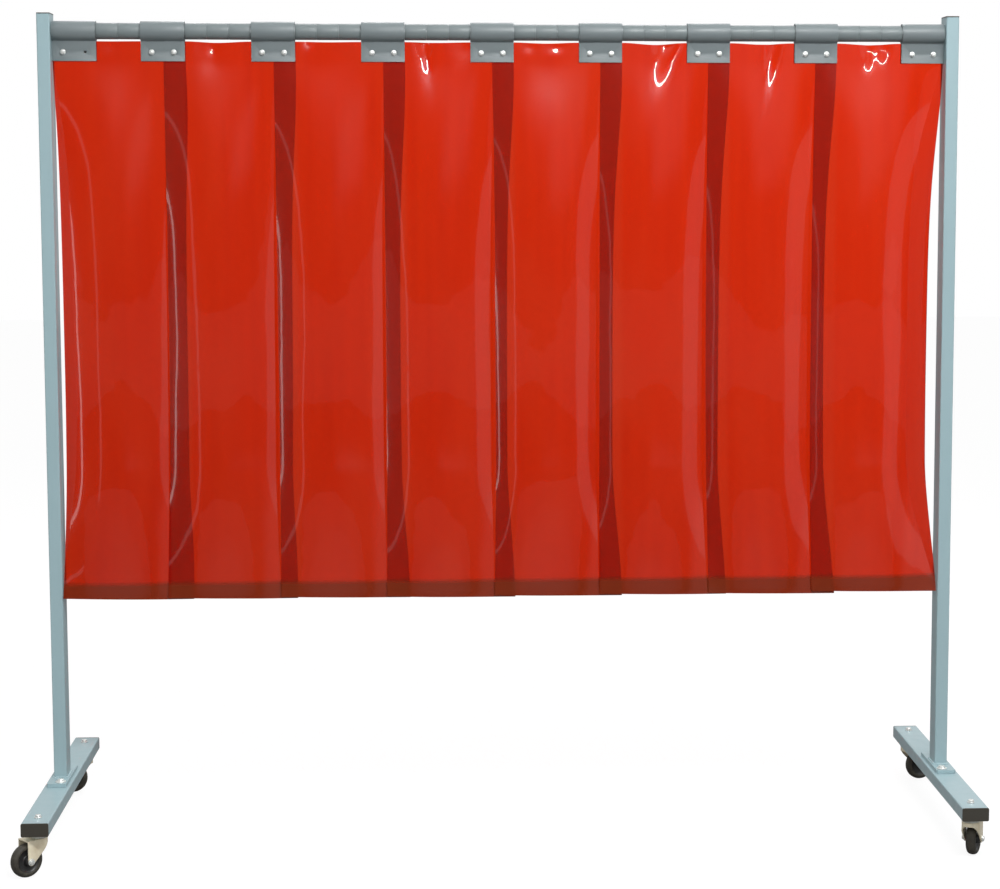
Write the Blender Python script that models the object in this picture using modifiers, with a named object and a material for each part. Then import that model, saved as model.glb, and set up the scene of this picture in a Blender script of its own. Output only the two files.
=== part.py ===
"""Mobile welding curtain screen: a steel frame on four swivel casters, with eight
lapped PVC strips hung from a rail by plastic clamps.

Frame of the model: metres, +Z up. X runs along the rail, from the left post to the
right one. The front is at -Y. The origin is on the floor, midway between the feet.
Run: blender --background --python part.py
"""

import math

import bmesh
import bpy
from mathutils import Matrix, Vector

# ---------------------------------------------------------------- dimensions
GAP = 0.0003                 # left between two pieces that touch

INNER_HALF = 1.025           # post's inner face to the middle: 2050 mm between posts
POST_W, POST_D = 0.030, 0.060      # post tube, across and front to back
POST_WALL = 0.002
POST_X = INNER_HALF + POST_W / 2
TOTAL_H = 1.900
POST_CAP_T = 0.0022
POST_TOP = TOTAL_H - POST_CAP_T - GAP

FOOT_W, FOOT_H, FOOT_WALL = 0.060, 0.030, 0.002
FOOT_Z0 = 0.097              # underside of the foot tube
FOOT_TOP = FOOT_Z0 + FOOT_H
FOOT_HALF_LEN = 0.400        # to the face of the end cap
END_CAP_T = 0.0032

PLATE_T = 0.008              # base plate under each post
PLATE_W = 0.045
PLATE_Y0, PLATE_Y1 = -0.091, 0.091
PLATE_Z0 = FOOT_TOP + GAP
PLATE_TOP = PLATE_Z0 + PLATE_T
BASE_BOLTS = ((0.007, -0.0725), (-0.007, 0.0725))   # inwards of the post's middle, and y

RAIL_Z = 1.8605
RAIL_R, RAIL_BORE = 0.01685, 0.01455
SPIGOT_R, SPIGOT_LEN = 0.0142, 0.060

CLIP_R = 0.01865             # spacer clips on the rail
CLIP_LEN = 0.050
CLAMP_R, CLAMP_BORE = 0.0226, RAIL_R + 0.0005
CLAMP_LEN = 0.100
CLAMP_PITCH = 0.250
CLAMP_COUNT = 9
FLANGE_IN, FLANGE_OUT = 0.0028, 0.0063    # inner and outer face of a clamp flange
FLANGE_LIP = 0.0008
FLANGE_Z0 = 1.7925
SCREW_Z = 1.8130
SCREW_DX = 0.025
SCREW_HOLE_R = 0.0033

STRIP_COUNT = 8
STRIP_W, STRIP_T = 0.300, 0.002
STRIP_X0 = -1.0244
STRIP_PITCH = (2 * 1.0244 - STRIP_W) / 7
STRIP_TOP = 1.8380
STRIP_LEN = 1.2815
STRIP_LAYER = 0.00145        # how far the edges stand off the middle, in the clamps
STRIP_SPREAD = 0.0013        # and further below them
STRIP_CURL = (4.3, 3.9, 3.9, 3.9, 4.5, 3.8, 3.8, 4.0)     # 1/m, at mid height
STRIP_SAG = (0.5, 3.0, 1.0, 1.5, 2.3, 4.2, 3.0, 3.4)      # mm, of the top edge
STRIP_CUT = (0.5, 0.0, -0.4, -1.8, -1.3, -0.5, -1.8, 1.0)  # mm, of the bottom edge
STRIP_DRIFT = (-0.5, -8.0, 3.5, -0.4, 0.0, -2.7, 5.1, -0.8)  # mm, sideways at the bottom
STRIP_SHIFT = (10.0, 0.5, 1.5, 1.5, 6.0, 0.0, 0.0, -1.0)  # mm, of a left edge at mid height

CASTER_Y = 0.350
WHEEL_AXLE_Z = 0.0375
WHEEL_SIDES = 20
WHEEL_R = WHEEL_AXLE_Z / math.cos(math.pi / WHEEL_SIDES)
TRAIL = 0.032
FORK_TOP = 0.0892
FORK_T, FORK_R = 0.0025, 0.020
AXLE_R = 0.004
CASTERS = {                  # side, end and the way the wheel trails at rest, in degrees
    "left_front": (-1, -1, 222.0),
    "right_front": (1, -1, 64.0),
    "left_rear": (-1, 1, 170.0),
    "right_rear": (1, 1, 17.0),
}

# ---------------------------------------------------------------- scene set-up
for old in list(bpy.data.objects):
    bpy.data.objects.remove(old, do_unlink=True)
scene = bpy.context.scene
PARTS = bpy.data.collections.new("welding_curtain_screen")
TOOLS = bpy.data.collections.new("cutters")
scene.collection.children.link(PARTS)
scene.collection.children.link(TOOLS)


def material(name, colour, roughness, metallic=0.0, transmission=0.0):
    mat = bpy.data.materials.new(name)
    mat.use_nodes = True
    shader = mat.node_tree.nodes["Principled BSDF"]
    shader.inputs["Base Color"].default_value = (*colour, 1.0)
    shader.inputs["Roughness"].default_value = roughness
    shader.inputs["Metallic"].default_value = metallic
    shader.inputs["Transmission Weight"].default_value = transmission
    mat.diffuse_color = (*colour, 1.0)
    return mat


PAINT = material("blue_grey_paint", (0.36, 0.46, 0.50), 0.42)
BLACK = material("black_plastic", (0.02, 0.02, 0.022), 0.45)
GREY = material("grey_plastic", (0.22, 0.26, 0.27), 0.40)
ZINC = material("zinc_plate", (0.62, 0.63, 0.60), 0.30, 1.0)
YELLOW_ZINC = material("passivated_zinc", (0.62, 0.58, 0.44), 0.32, 1.0)
RUBBER = material("black_rubber", (0.03, 0.03, 0.028), 0.65)
PVC = material("orange_red_pvc", (0.78, 0.05, 0.01), 0.15, 0.0, 0.5)
STEEL = material("rail_steel", (0.50, 0.52, 0.53), 0.35, 1.0)


# ---------------------------------------------------------------- helpers
def empty(name, location, turn_z=0.0):
    obj = bpy.data.objects.new(name, None)
    obj.empty_display_size = 0.05
    obj.location = location
    obj.rotation_euler = (0.0, 0.0, turn_z)
    PARTS.objects.link(obj)
    return obj


def place(name, mesh, mat, location=(0, 0, 0), rotation=(0, 0, 0), parent=None):
    """A part: an object of this mesh, in the parts' collection."""
    obj = bpy.data.objects.new(name, mesh)
    obj.location = location
    obj.rotation_euler = rotation
    if not mesh.materials:
        mesh.materials.append(mat)
    PARTS.objects.link(obj)
    if parent is not None:
        obj.parent = parent
    return obj


def as_tool(name, mesh):
    """A hidden object that cuts another, or is joined to it."""
    obj = bpy.data.objects.new(name, mesh)
    obj.hide_render = True
    obj.display_type = "WIRE"
    TOOLS.objects.link(obj)
    return obj


def smooth(mesh, degrees=35.0):
    mesh.shade_smooth()
    mesh.set_sharp_from_angle(angle=math.radians(degrees))
    return mesh


def evaluated_mesh(obj):
    bpy.context.view_layer.update()
    graph = bpy.context.evaluated_depsgraph_get()
    return bpy.data.meshes.new_from_object(obj.evaluated_get(graph))


def welded(mesh, distance=1e-6):
    bm = bmesh.new()
    bm.from_mesh(mesh)
    bmesh.ops.remove_doubles(bm, verts=bm.verts, dist=distance)
    bmesh.ops.recalc_face_normals(bm, faces=bm.faces)
    bm.to_mesh(mesh)
    bm.free()
    return mesh


def prism(name, loops, depth, matrix=None):
    """A flat outline, with any holes as further loops, extruded by depth about its plane."""
    curve = bpy.data.curves.new(name, "CURVE")
    curve.dimensions = "2D"
    curve.fill_mode = "BOTH"
    curve.extrude = depth / 2
    for loop in loops:
        spline = curve.splines.new("POLY")
        spline.points.add(len(loop) - 1)
        for point, (x, y) in zip(spline.points, loop):
            point.co = (x, y, 0.0, 1.0)
        spline.use_cyclic_u = True
    obj = bpy.data.objects.new(name, curve)
    TOOLS.objects.link(obj)
    mesh = welded(evaluated_mesh(obj))
    bpy.data.objects.remove(obj, do_unlink=True)
    bpy.data.curves.remove(curve)
    mesh.name = name
    if matrix is not None:
        mesh.transform(matrix)
    return mesh


def block(name, low, high):
    """A box from its lowest corner to its highest."""
    low, high = Vector(low), Vector(high)
    bm = bmesh.new()
    bmesh.ops.create_cube(bm, size=1.0)
    bmesh.ops.scale(bm, vec=high - low, verts=bm.verts)
    bmesh.ops.translate(bm, vec=(high + low) / 2, verts=bm.verts)
    mesh = bpy.data.meshes.new(name)
    bm.to_mesh(mesh)
    bm.free()
    return mesh


def rod(name, radius, z0, z1, sides=16, centre=(0, 0), turn=0.0):
    """An upright cylinder. Six sides make a hexagon."""
    bm = bmesh.new()
    bmesh.ops.create_cone(
        bm, cap_ends=True, segments=sides, radius1=radius, radius2=radius, depth=z1 - z0
    )
    bmesh.ops.rotate(
        bm, verts=bm.verts, cent=(0, 0, 0), matrix=Matrix.Rotation(turn, 3, "Z")
    )
    bmesh.ops.translate(
        bm, vec=(centre[0], centre[1], (z0 + z1) / 2), verts=bm.verts
    )
    mesh = bpy.data.meshes.new(name)
    bm.to_mesh(mesh)
    bm.free()
    return mesh


def combined(name, base, *steps):
    """base with each ('UNION' | 'DIFFERENCE' | 'INTERSECT', mesh) step worked out in turn."""
    obj = as_tool(name + "_base", base)
    helpers = []
    for number, (operation, mesh) in enumerate(steps):
        helper = as_tool(f"{name}_step{number}", mesh)
        helpers.append(helper)
        modifier = obj.modifiers.new(f"step{number}", "BOOLEAN")
        modifier.operation = operation
        modifier.object = helper
    mesh = evaluated_mesh(obj)
    for item in [obj, *helpers]:
        bpy.data.objects.remove(item, do_unlink=True)
    mesh.name = name
    return welded(mesh, 1e-6)


def turned(name, profile, steps, closed=False):
    """A profile of (radius, z), running down its outer side, turned about Z."""
    mesh = bpy.data.meshes.new(name)
    points = [(r, 0.0, z) for r, z in profile]
    edges = [(i, i + 1) for i in range(len(points) - 1)]
    if closed:
        edges.append((len(points) - 1, 0))
    mesh.from_pydata(points, edges, [])
    obj = as_tool(name + "_profile", mesh)
    screw = obj.modifiers.new("turn", "SCREW")
    screw.axis = "Z"
    screw.angle = 2 * math.pi
    screw.steps = screw.render_steps = steps
    screw.use_merge_vertices = True
    screw.merge_threshold = 1e-5
    screw.use_normal_calculate = False
    made = welded(evaluated_mesh(obj))
    bpy.data.objects.remove(obj, do_unlink=True)
    made.name = name
    return made


def rounded_rect(width, height, radius, steps=3, centre=(0.0, 0.0)):
    points = []
    for corner in range(4):
        cx = (width / 2 - radius) * (1 if corner in (0, 3) else -1)
        cy = (height / 2 - radius) * (1 if corner in (0, 1) else -1)
        for step in range(steps + 1):
            angle = math.pi / 2 * (corner + step / steps)
            points.append(
                (
                    centre[0] + cx + radius * math.cos(angle),
                    centre[1] + cy + radius * math.sin(angle),
                )
            )
    return points


def circle(radius, sides, centre=(0.0, 0.0)):
    return [
        (
            centre[0] + radius * math.cos(2 * math.pi * i / sides),
            centre[1] + radius * math.sin(2 * math.pi * i / sides),
        )
        for i in range(sides)
    ]


ALONG_X = Matrix(((0, 0, 1, 0), (1, 0, 0, 0), (0, 1, 0, 0), (0, 0, 0, 1)))  # (y, z) outline
ALONG_Y = Matrix(((1, 0, 0, 0), (0, 0, -1, 0), (0, 1, 0, 0), (0, 0, 0, 1)))  # (x, z) outline
Z_TO_Y = Matrix.Rotation(math.pi / 2, 4, "X")     # an upright turned piece laid along Y
Z_TO_X = Matrix.Rotation(math.pi / 2, 4, "Y")     # and along X


def moved(mesh, matrix):
    mesh.transform(matrix)
    return mesh


def move(x, y, z):
    return Matrix.Translation((x, y, z))


# ---------------------------------------------------------------- posts and their caps
def post_mesh(inward):
    """Tube with its welded base plate and the spigot that carries the rail."""
    tube_low = PLATE_TOP - 0.003
    tube = prism(
        "post_tube",
        [
            rounded_rect(POST_W, POST_D, 0.003),
            rounded_rect(POST_W - 2 * POST_WALL, POST_D - 2 * POST_WALL, 0.001, 1),
        ],
        POST_TOP - tube_low,
        move(0, 0, (POST_TOP + tube_low) / 2),
    )
    plate = moved(
        prism(
            "base_plate",
            [rounded_rect(PLATE_W, PLATE_Y1 - PLATE_Y0, 0.003, 1)],
            PLATE_T,
        ),
        move(0, (PLATE_Y0 + PLATE_Y1) / 2, PLATE_Z0 + PLATE_T / 2),
    )
    spigot = rod("spigot", SPIGOT_R, 0.0, SPIGOT_LEN + 0.001, 16)
    spigot.transform(Matrix.Rotation(inward * math.pi / 2, 4, "Y"))
    spigot.transform(move(inward * (POST_W / 2 - 0.001), 0, RAIL_Z))
    cuts = [
        ("DIFFERENCE", rod("hole", 0.0054, 0.10, 0.16, 10, (inward * x, y)))
        for x, y in BASE_BOLTS
    ]
    mesh = combined("post", tube, ("UNION", plate), ("UNION", spigot), *cuts)
    return smooth(mesh)


def post_cap_mesh():
    top = prism(
        "cap_top",
        [rounded_rect(POST_W, POST_D, 0.003)],
        POST_CAP_T,
        move(0, 0, TOTAL_H - POST_CAP_T / 2),
    )
    play = 2 * POST_WALL + 0.0008
    plug = prism(
        "cap_plug",
        [rounded_rect(POST_W - play, POST_D - play, 0.0015, 1)],
        0.0122,
        move(0, 0, TOTAL_H - POST_CAP_T - 0.012 + 0.0061),
    )
    return smooth(combined("post_cap", top, ("UNION", plug)))


cap_mesh = post_cap_mesh()
for side, word in ((-1, "left"), (1, "right")):
    place(f"{word}_post", post_mesh(-side), PAINT, (side * POST_X, 0, 0))
    place(f"{word}_post_cap", cap_mesh, BLACK, (side * POST_X, 0, 0))


# ---------------------------------------------------------------- feet and end caps
def foot_mesh(inward):
    half = FOOT_HALF_LEN - END_CAP_T - GAP
    tube = prism(
        "foot_tube",
        [
            rounded_rect(FOOT_W, FOOT_H, 0.003, 2),
            rounded_rect(FOOT_W - 2 * FOOT_WALL, FOOT_H - 2 * FOOT_WALL, 0.001, 1),
        ],
        2 * half,
        ALONG_Y,
    )
    tube.transform(move(0, 0, FOOT_Z0 + FOOT_H / 2))
    cuts = [
        ("DIFFERENCE", rod("hole", 0.0045, 0.08, 0.14, 10, (0, y)))
        for y in (-CASTER_Y, CASTER_Y)
    ]
    cuts += [
        ("DIFFERENCE", rod("hole", 0.0054, 0.115, 0.14, 10, (inward * x, y)))
        for x, y in BASE_BOLTS
    ]
    return smooth(combined("foot", tube, *cuts))


def end_cap_mesh():
    """Its face is at y = 0 and its plug runs to +Y."""
    face = prism("face", [rounded_rect(FOOT_W, FOOT_H, 0.003, 2)], END_CAP_T, ALONG_Y)
    face.transform(move(0, END_CAP_T / 2, 0))
    plug = prism(
        "plug",
        [
            rounded_rect(
                FOOT_W - 2 * FOOT_WALL - 0.0008, FOOT_H - 2 * FOOT_WALL - 0.0008, 0.0015, 1
            )
        ],
        0.012,
        ALONG_Y,
    )
    plug.transform(move(0, END_CAP_T + 0.006 - 0.0004, 0))
    return smooth(combined("end_cap", face, ("UNION", plug)))


end_cap = end_cap_mesh()
for side, word in ((-1, "left"), (1, "right")):
    x = side * POST_X
    place(f"{word}_foot", foot_mesh(-side), PAINT, (x, 0, 0))
    z = FOOT_Z0 + FOOT_H / 2
    place(f"{word}_foot_front_cap", end_cap, BLACK, (x, -FOOT_HALF_LEN, z))
    place(
        f"{word}_foot_rear_cap", end_cap, BLACK, (x, FOOT_HALF_LEN, z), (0, 0, math.pi)
    )


# ---------------------------------------------------------------- base-plate bolts
def base_bolts_mesh(inward):
    """Two bolts with washers, screwed into one nut plate inside the foot."""
    inside = FOOT_TOP - FOOT_WALL - GAP
    half = BASE_BOLTS[1][1] + 0.014
    bar = block("nut_plate", (-0.021, -half, inside - 0.006), (0.021, half, inside))
    steps = []
    for inwards, y in BASE_BOLTS:
        at = (inward * inwards, y)
        seat = PLATE_TOP + GAP
        steps.append(("UNION", rod("shank", 0.005, inside - 0.003, seat + 0.004, 10, at)))
        steps.append(("UNION", rod("washer", 0.0125, seat, seat + 0.0018, 16, at)))
        steps.append(("UNION", rod("head", 0.0088, seat + 0.0012, seat + 0.0070, 6, at, 0.3)))
    return combined("base_bolts", bar, *steps)


for side, word in ((-1, "left"), (1, "right")):
    place(f"{word}_base_bolts", base_bolts_mesh(-side), ZINC, (side * POST_X, 0, 0))


# ---------------------------------------------------------------- rail and spacer clips
rail = prism("rail", [circle(RAIL_R, 24), circle(RAIL_BORE, 24)], 2 * (INNER_HALF - GAP), ALONG_X)
place("rail", smooth(rail), STEEL, (0, 0, RAIL_Z))


def clip_row_mesh(count):
    """Clips pushed up against each other on the rail: a sleeve, grooved at each joint."""
    length = count * CLIP_LEN - 2 * GAP
    z = length / 2
    profile = [(RAIL_R + 0.0005, z), (CLIP_R, z)]
    for joint in range(1, count):
        at = length / 2 - joint * CLIP_LEN
        profile += [(CLIP_R, at + 0.0006), (CLIP_R - 0.0008, at), (CLIP_R, at - 0.0006)]
    profile += [(CLIP_R, -z), (RAIL_R + 0.0005, -z)]
    return smooth(moved(turned("clips", profile, 16, closed=True), Z_TO_X), 50)


def clamp_centre(number):
    """Clamps 1 and 9 stand against the posts; the others are every 250 mm."""
    if number == 1:
        return -INNER_HALF + CLAMP_LEN / 2
    if number == CLAMP_COUNT:
        return INNER_HALF - CLAMP_LEN / 2
    return -INNER_HALF + CLAMP_PITCH * (number - 1)


clip_meshes = {count: clip_row_mesh(count) for count in (2, 3)}
for number in range(1, CLAMP_COUNT):
    start = clamp_centre(number) + CLAMP_LEN / 2
    end = clamp_centre(number + 1) - CLAMP_LEN / 2
    count = round((end - start) / CLIP_LEN)
    place(
        f"spacer_clips_{number}", clip_meshes[count], GREY, ((start + end) / 2, 0, RAIL_Z)
    )

# ---------------------------------------------------------------- curtain: clamps
curtain = empty("curtain_pivot", (0, 0, RAIL_Z))


def clamp_outline():
    """A barrel that wraps the rail and opens downwards between two flanges, as (y, z)."""
    low = FLANGE_Z0 - RAIL_Z
    inner = math.acos(FLANGE_IN / CLAMP_BORE)
    outer = math.acos(FLANGE_OUT / CLAMP_R)

    def arc(radius, start, end, steps):
        return [
            (
                radius * math.cos(start + (end - start) * i / steps),
                radius * math.sin(start + (end - start) * i / steps),
            )
            for i in range(steps + 1)
        ]

    # Up the front flange's inner face, round the bore, and down the rear flange's.
    points = [(-FLANGE_IN, low)]
    points += arc(CLAMP_BORE, -math.pi + inner, -2 * math.pi - inner, 18)
    points += [(FLANGE_IN, low), (FLANGE_OUT + FLANGE_LIP, low)]
    points += [(FLANGE_OUT + FLANGE_LIP, low + 0.0035), (FLANGE_OUT, low + 0.0043)]
    points += arc(CLAMP_R, -outer, math.pi + outer, 14)
    points += [(-FLANGE_OUT, low + 0.0043), (-FLANGE_OUT - FLANGE_LIP, low + 0.0035)]
    points += [(-FLANGE_OUT - FLANGE_LIP, low)]
    return points


def clamp_mesh():
    body = prism("clamp", [clamp_outline()], CLAMP_LEN - 0.0008, ALONG_X)
    cuts = []
    for dx in (-SCREW_DX, SCREW_DX):
        hole = rod("hole", SCREW_HOLE_R, -0.02, 0.02, 8)
        hole.transform(Z_TO_Y)
        hole.transform(move(dx, 0, SCREW_Z - RAIL_Z))
        cuts.append(("DIFFERENCE", hole))
    return smooth(combined("clamp", body, *cuts), 40)


def screws_mesh(places):
    """Hexagon-headed screws through both flanges, in one backing bar behind them."""
    y_front = -FLANGE_OUT - FLANGE_LIP - GAP
    y_back = FLANGE_OUT + FLANGE_LIP + GAP
    bar = block("bar", (-0.040, y_back, -0.008), (0.040, y_back + 0.003, 0.008))
    steps = []
    for dx in places:
        for radius, sides, y0, y1 in (
            (0.0029, 8, y_front - 0.001, y_back + 0.002),
            (0.0057, 6, y_front - 0.0048, y_front),
            (0.0057, 6, y_back + 0.002, y_back + 0.0075),
        ):
            piece = rod("screw", radius, -y1, -y0, sides)
            piece.transform(Z_TO_Y)
            piece.transform(move(dx, 0, 0))
            steps.append(("UNION", piece))
    mesh = combined("clamp_screws", bar, *steps)
    mesh.transform(move(0, 0, SCREW_Z - RAIL_Z))
    return mesh


clamp = clamp_mesh()
both_screws = screws_mesh((-SCREW_DX, SCREW_DX))
left_screw = screws_mesh((-SCREW_DX,))
for number in range(1, CLAMP_COUNT + 1):
    at = (clamp_centre(number), 0, 0)
    place(f"clamp_{number}", clamp, GREY, at, parent=curtain)
    screws = left_screw if number == 1 else both_screws
    place(f"clamp_screws_{number}", screws, ZINC, at, parent=curtain)


# ---------------------------------------------------------------- curtain: PVC strips
def strip_point(index, across, down):
    """Where a strip's middle surface is, in world metres.

    across is measured along the cut from the left edge and down along the length from
    the top edge. The strip is flat in the clamps, then takes a curl about the vertical
    that is convex to the front. Its left edge lies on the front of its neighbour and
    its right edge falls back behind the next one. The curl opens again at the bottom,
    which hangs a little forward.
    """
    free = max(down - 0.0455, 0.0)
    rise = 1.0 - math.exp(-free / 0.16)
    fall = max((down - 0.98) / 0.30, 0.0)
    amount = rise * max(1.0 - 0.85 * min(fall, 1.0) ** 1.6, 0.15)
    curl = max(STRIP_CURL[index] * amount, 1e-4)
    flat_to = 0.125          # the arc's crest, halfway along the pitch
    x = (math.sin(curl * (across - flat_to)) + math.sin(curl * flat_to)) / curl
    y = (math.cos(curl * flat_to) - math.cos(curl * (across - flat_to))) / curl
    x += STRIP_X0 + STRIP_PITCH * index
    x += 0.001 * STRIP_SHIFT[index] * amount
    x += 0.001 * STRIP_DRIFT[index] * max((down - 0.55) / (STRIP_LEN - 0.55), 0.0) ** 2
    y += 0.016 * rise - 0.046 * max((down - 0.75) / (STRIP_LEN - 0.75), 0.0) ** 2
    y += (STRIP_LAYER + STRIP_SPREAD * rise) * (2 * across / STRIP_W - 1)
    z = STRIP_TOP - down
    middle = math.sin(math.pi * min(max((across - 0.05) / 0.15, 0.0), 1.0)) ** 2
    z -= 0.001 * STRIP_SAG[index] * middle * math.exp(-down / 0.10)
    z += 0.001 * STRIP_CUT[index] * (down / STRIP_LEN) ** 3
    z += (0.001 - 0.005 * across / STRIP_W) * (down / STRIP_LEN) ** 6
    return x, y, z


STRIP_ROWS = (0.0, 0.0455, 0.11, 0.20, 0.34, 0.56, 0.80, 0.98, 1.10, 1.20, STRIP_LEN)
STRIP_COLUMNS = 6

holes = []
for number in range(1, CLAMP_COUNT + 1):
    for dx in (-SCREW_DX, SCREW_DX):
        holes.append(clamp_centre(number) + dx)
cutter_bm = bmesh.new()
for x in holes:
    made = bmesh.ops.create_cone(
        cutter_bm,
        cap_ends=True,
        segments=8,
        radius1=SCREW_HOLE_R,
        radius2=SCREW_HOLE_R,
        depth=0.03,
        matrix=move(x, 0, SCREW_Z) @ Z_TO_Y,
    )
cutter_mesh = bpy.data.meshes.new("strip_holes")
cutter_bm.to_mesh(cutter_mesh)
cutter_bm.free()
strip_holes = as_tool("strip_holes", cutter_mesh)

for index in range(STRIP_COUNT):
    bm = bmesh.new()
    bmesh.ops.create_grid(
        bm, x_segments=STRIP_COLUMNS, y_segments=len(STRIP_ROWS) - 1, size=0.5
    )
    for vert in bm.verts:
        column = (vert.co.x + 0.5) * STRIP_W
        row = STRIP_ROWS[round((0.5 - vert.co.y) * (len(STRIP_ROWS) - 1))]
        x, y, z = strip_point(index, column, row)
        vert.co = (x, y, z - RAIL_Z)
    bmesh.ops.recalc_face_normals(bm, faces=bm.faces)
    mesh = bpy.data.meshes.new(f"strip_{index + 1}")
    bm.to_mesh(mesh)
    bm.free()
    mesh.shade_smooth()
    strip = place(f"strip_{index + 1}", mesh, PVC, parent=curtain)
    shell = strip.modifiers.new("thickness", "SOLIDIFY")
    shell.thickness = STRIP_T
    shell.offset = 0.0
    cut = strip.modifiers.new("screw_holes", "BOOLEAN")
    cut.operation = "DIFFERENCE"
    cut.object = strip_holes


# ---------------------------------------------------------------- casters
def caster_stem_mesh():
    """The bolt through the foot, with the swivel race and the retaining nut on it."""
    profile_top = FOOT_TOP + GAP
    race_top = FOOT_Z0 - GAP
    shank = rod("shank", 0.004, 0.0800, profile_top + 0.003, 10)
    return smooth(
        combined(
            "caster_stem",
            shank,
            ("UNION", rod("washer", 0.0085, profile_top, profile_top + 0.0016, 14)),
            ("UNION", rod("head", 0.0075, profile_top + 0.001, profile_top + 0.0065, 6, turn=0.4)),
            ("UNION", rod("race", 0.0215, FORK_TOP + GAP, race_top, 18)),
            ("UNION", rod("nut", 0.0080, 0.0792, FORK_TOP - FORK_T - 2 * GAP - 0.0002, 6)),
        )
    )


def fork_mesh():
    """Pressed fork, about the swivel axis, with its wheel trailing along +X."""
    low = 0.020
    end = TRAIL + 0.0068

    def plan(radius, length, steps=12):
        points = [(length, radius)]
        points += [
            (
                radius * math.cos(math.pi / 2 + math.pi * i / steps),
                radius * math.sin(math.pi / 2 + math.pi * i / steps),
            )
            for i in range(steps + 1)
        ]
        return points + [(length, -radius)]

    outer = prism("outer", [plan(FORK_R, end)], FORK_TOP - low, move(0, 0, (FORK_TOP + low) / 2))
    inner_top = FORK_TOP - FORK_T
    inner = prism(
        "inner",
        [plan(FORK_R - FORK_T, end + 0.01)],
        inner_top - low + 0.01,
        move(0, 0, (inner_top + low - 0.01) / 2),
    )
    side = [(-0.03, FORK_TOP + 0.01), (-0.03, 0.0745), (-0.0180, 0.0745), (-0.005, 0.0620)]
    side += [
        (
            TRAIL + 0.0090 * math.cos(math.radians(a)) * (0.75 if a > 270 else 1.0),
            WHEEL_AXLE_Z + 0.0090 * math.sin(math.radians(a)),
        )
        for a in (212, 240, 270, 300, 330, 360)
    ]
    side += [(end, FORK_TOP + 0.01)]
    keep = prism("keep", [side], 0.06, ALONG_Y)
    axle = rod("axle", AXLE_R, -0.0245, 0.0245, 12)
    nuts = []
    for sign in (-1, 1):
        nuts.append(rod("nut", 0.0072, min(sign * 0.0195, sign * 0.0238), max(sign * 0.0195, sign * 0.0238), 6))
    for piece in (axle, *nuts):
        piece.transform(Z_TO_Y)
        piece.transform(move(TRAIL, 0, WHEEL_AXLE_Z))
    hole = rod("hole", 0.0045, 0.07, 0.10, 10)
    return smooth(
        combined(
            "caster_fork",
            outer,
            ("DIFFERENCE", inner),
            ("INTERSECT", keep),
            ("DIFFERENCE", hole),
            ("UNION", axle),
            ("UNION", nuts[0]),
            ("UNION", nuts[1]),
        ),
        30,
    )


def wheel_mesh():
    """Rubber-tyred disc wheel, its axle along Y, with a flat of its tread underneath."""
    half = [
        (AXLE_R + 0.0003, 0.0170),
        (0.0105, 0.0170),
        (0.0120, 0.0075),
        (0.0245, 0.0075),
        (0.0262, 0.0115),
        (0.0352, 0.0115),
        (WHEEL_R, 0.0070),
    ]
    profile = half + [(r, -z) for r, z in reversed(half)]
    mesh = turned("caster_wheel", profile, WHEEL_SIDES, closed=True)
    mesh.transform(Matrix.Rotation(math.pi / WHEEL_SIDES, 4, "Z"))
    mesh.transform(Z_TO_Y)
    return smooth(mesh, 30)


stem, fork, wheel = caster_stem_mesh(), fork_mesh(), wheel_mesh()
for name, (side, end, degrees) in CASTERS.items():
    x, y = side * POST_X, end * CASTER_Y
    place(f"{name}_caster_stem", stem, ZINC, (x, y, 0))
    swivel = empty(f"{name}_swivel", (x, y, 0), math.radians(degrees))
    place(f"{name}_caster_fork", fork, YELLOW_ZINC, parent=swivel)
    axle = empty(f"{name}_axle", (TRAIL, 0, WHEEL_AXLE_Z))
    axle.parent = swivel
    place(f"{name}_caster_wheel", wheel, RUBBER, parent=axle)
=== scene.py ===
import math

import bmesh
import bpy
from mathutils import Matrix, Vector, noise


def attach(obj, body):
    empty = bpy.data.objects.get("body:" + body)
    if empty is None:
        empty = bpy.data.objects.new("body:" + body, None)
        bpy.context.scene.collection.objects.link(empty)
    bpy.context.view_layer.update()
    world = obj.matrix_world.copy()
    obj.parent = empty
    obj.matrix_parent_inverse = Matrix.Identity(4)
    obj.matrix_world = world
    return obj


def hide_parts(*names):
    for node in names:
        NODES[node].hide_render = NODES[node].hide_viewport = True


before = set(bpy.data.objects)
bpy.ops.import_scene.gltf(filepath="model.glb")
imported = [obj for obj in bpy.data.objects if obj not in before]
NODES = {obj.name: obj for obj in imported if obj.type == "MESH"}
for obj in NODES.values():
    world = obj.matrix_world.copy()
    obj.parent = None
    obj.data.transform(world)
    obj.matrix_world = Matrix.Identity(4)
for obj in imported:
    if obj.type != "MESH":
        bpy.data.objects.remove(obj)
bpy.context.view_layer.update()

scene = bpy.context.scene

# ---------------------------------------------------------------- sizes, in metres
RAIL_Z, RAIL_R = 1.8605, 0.01685
INNER_HALF = 1.025
POST_X, POST_W, POST_D = 1.040, 0.030, 0.060
CLIP_R, CLIP_LEN = 0.01865, 0.050
CLAMP_R, CLAMP_BORE, CLAMP_LEN = 0.0226, RAIL_R + 0.0005, 0.100
FLANGE_IN, FLANGE_OUT, FLANGE_LIP, FLANGE_Z0 = 0.0028, 0.0063, 0.0008, 1.7925
SCREW_Z, SCREW_DX, SCREW_HOLE_R = 1.8130, 0.025, 0.0033
PLATE_TOP = 0.1353
FOOT_TOP, FOOT_Z0 = 0.127, 0.097
BASE_BOLTS = ((0.007, -0.0725), (-0.007, 0.0725))
GAP = 0.0003

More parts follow.
